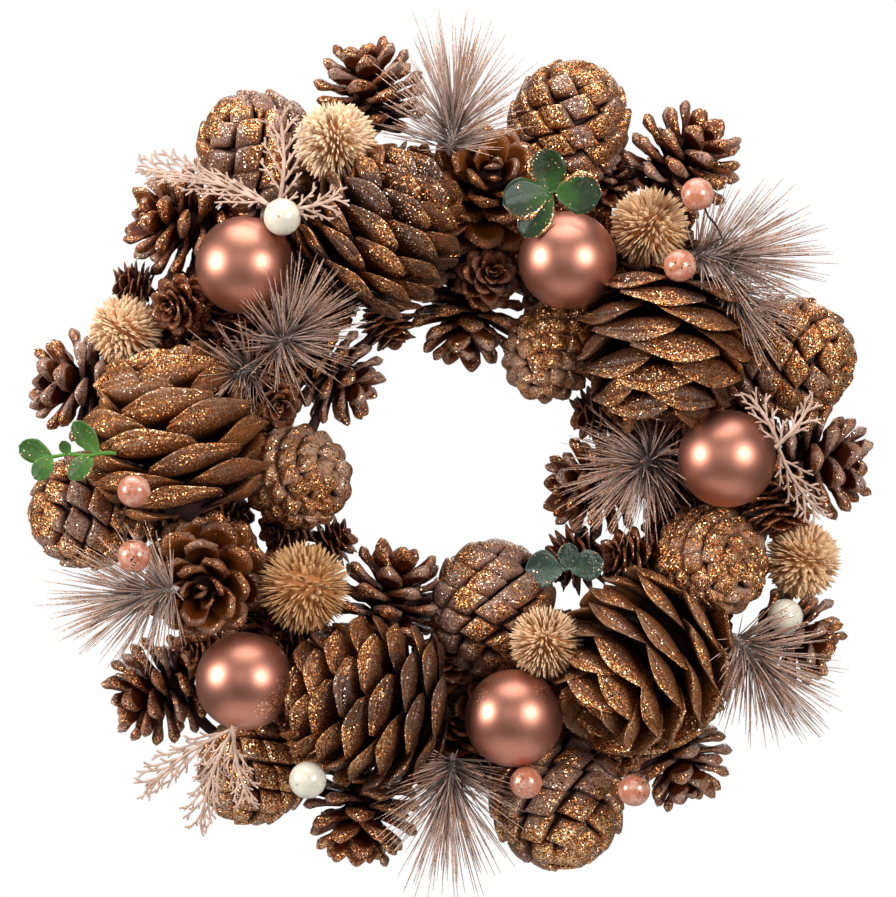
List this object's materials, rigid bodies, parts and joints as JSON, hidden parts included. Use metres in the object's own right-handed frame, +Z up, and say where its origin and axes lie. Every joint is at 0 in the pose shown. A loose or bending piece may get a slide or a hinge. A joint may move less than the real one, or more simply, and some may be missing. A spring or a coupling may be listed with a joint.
{
  "type": "christmas wreath",
  "caption": "Round door wreath of pine, larch and broad-scaled cones with matt baubles, dried flower heads, frosted needles, berries and leaves around an open middle.",
  "frame": {"origin": "the point under the top of the ring's inner edge where a hook on the door carries the wreath, in the ring's middle plane", "axes": "+Z up as the wreath hangs, +Y towards the door and out of the flat back, +X to the viewer's right"},
  "size_m": [0.3517, 0.1004, 0.3577],
  "materials": {
    "straw": "pressed dry straw bound to a half-round ring, dull",
    "rose_gold": "satin rose-gold coating with a soft wide highlight",
    "broad_cone": "dry tan wood, dark between the scales, gold glitter on the rims",
    "dried_bloom": "dry papery cream bristles, dull",
    "pine_cone": "copper-brown dry wood with silvery frost and copper glitter",
    "larch_cone": "dark brown papery scales, dull, with a little glitter",
    "pearl": "milky pearl coating, glossy",
    "berry_lacquer": "pink pearly coating, glossy",
    "frosted_needle": "grey-mauve frosted needles with copper glitter at the tips",
    "leaf": "green leaf, half matt, gold glitter on the rims",
    "frosted_cedar": "frosted beige, dull and grainy"
  },
  "bodies": {
    "root": {"bauble_01": "rose_gold", "bauble_02": "rose_gold", "bauble_03": "rose_gold", "bauble_04": "rose_gold", "bauble_05": "rose_gold", "berry_pick_bottom": "berry_lacquer", "berry_pick_left": "berry_lacquer", "berry_pick_upper_right": "berry_lacquer", "cedar_spray_lower_left": "frosted_cedar", "cedar_spray_right": "frosted_cedar", "cedar_spray_upper_left": "frosted_cedar", "dried_flower_01": "dried_bloom", "dried_flower_02": "dried_bloom", "dried_flower_03": "dried_bloom", "dried_flower_04": "dried_bloom", "dried_flower_05": "dried_bloom", "dried_flower_06": "dried_bloom", "larch_cone_bottom": "larch_cone", "larch_cone_inner_left": "larch_cone", "larch_cone_inner_upper_right": "larch_cone", "larch_cone_lower_left": "larch_cone", "larch_cone_lower_right": "larch_cone", "larch_cone_right": "larch_cone", "larch_cone_top": "larch_cone", "larch_cones_inner_lower_left": "larch_cone", "larch_cones_inner_right": "larch_cone", "larch_cones_upper_left": "larch_cone", "large_cone_left": "broad_cone", "large_cone_lower_left": "broad_cone", "large_cone_lower_right": "broad_cone", "large_cone_right": "broad_cone", "large_cone_top": "broad_cone", "leaf_sprig_inner": "leaf", "leaf_sprig_left": "leaf", "leaf_sprig_top": "leaf", "needle_tuft_bottom": "frosted_needle", "needle_tuft_inner_left": "frosted_needle", "needle_tuft_inner_right": "frosted_needle", "needle_tuft_left": "frosted_needle", "needle_tuft_lower_right": "frosted_needle", "needle_tuft_right": "frosted_needle", "needle_tuft_top": "frosted_needle", "pearl_01": "pearl", "pearl_02": "pearl", "pearl_03": "pearl", "pine_cone_closed_right": "pine_cone", "pine_cone_inner_right": "pine_cone", "pine_cone_outer_right": "pine_cone", "pine_cone_rosette_left": "pine_cone", "pine_cone_top_inside": "pine_cone", "pine_cones_bottom_left": "pine_cone", "pine_cones_bottom_right": "pine_cone", "pine_cones_inner_bottom": "pine_cone", "pine_cones_inner_left": "pine_cone", "pine_cones_inner_top": "pine_cone", "pine_cones_left": "pine_cone", "pine_cones_right": "pine_cone", "pine_cones_upper_left": "pine_cone", "pine_cones_upper_right": "pine_cone", "straw_ring": "straw"}
  },
  "joints": []
}
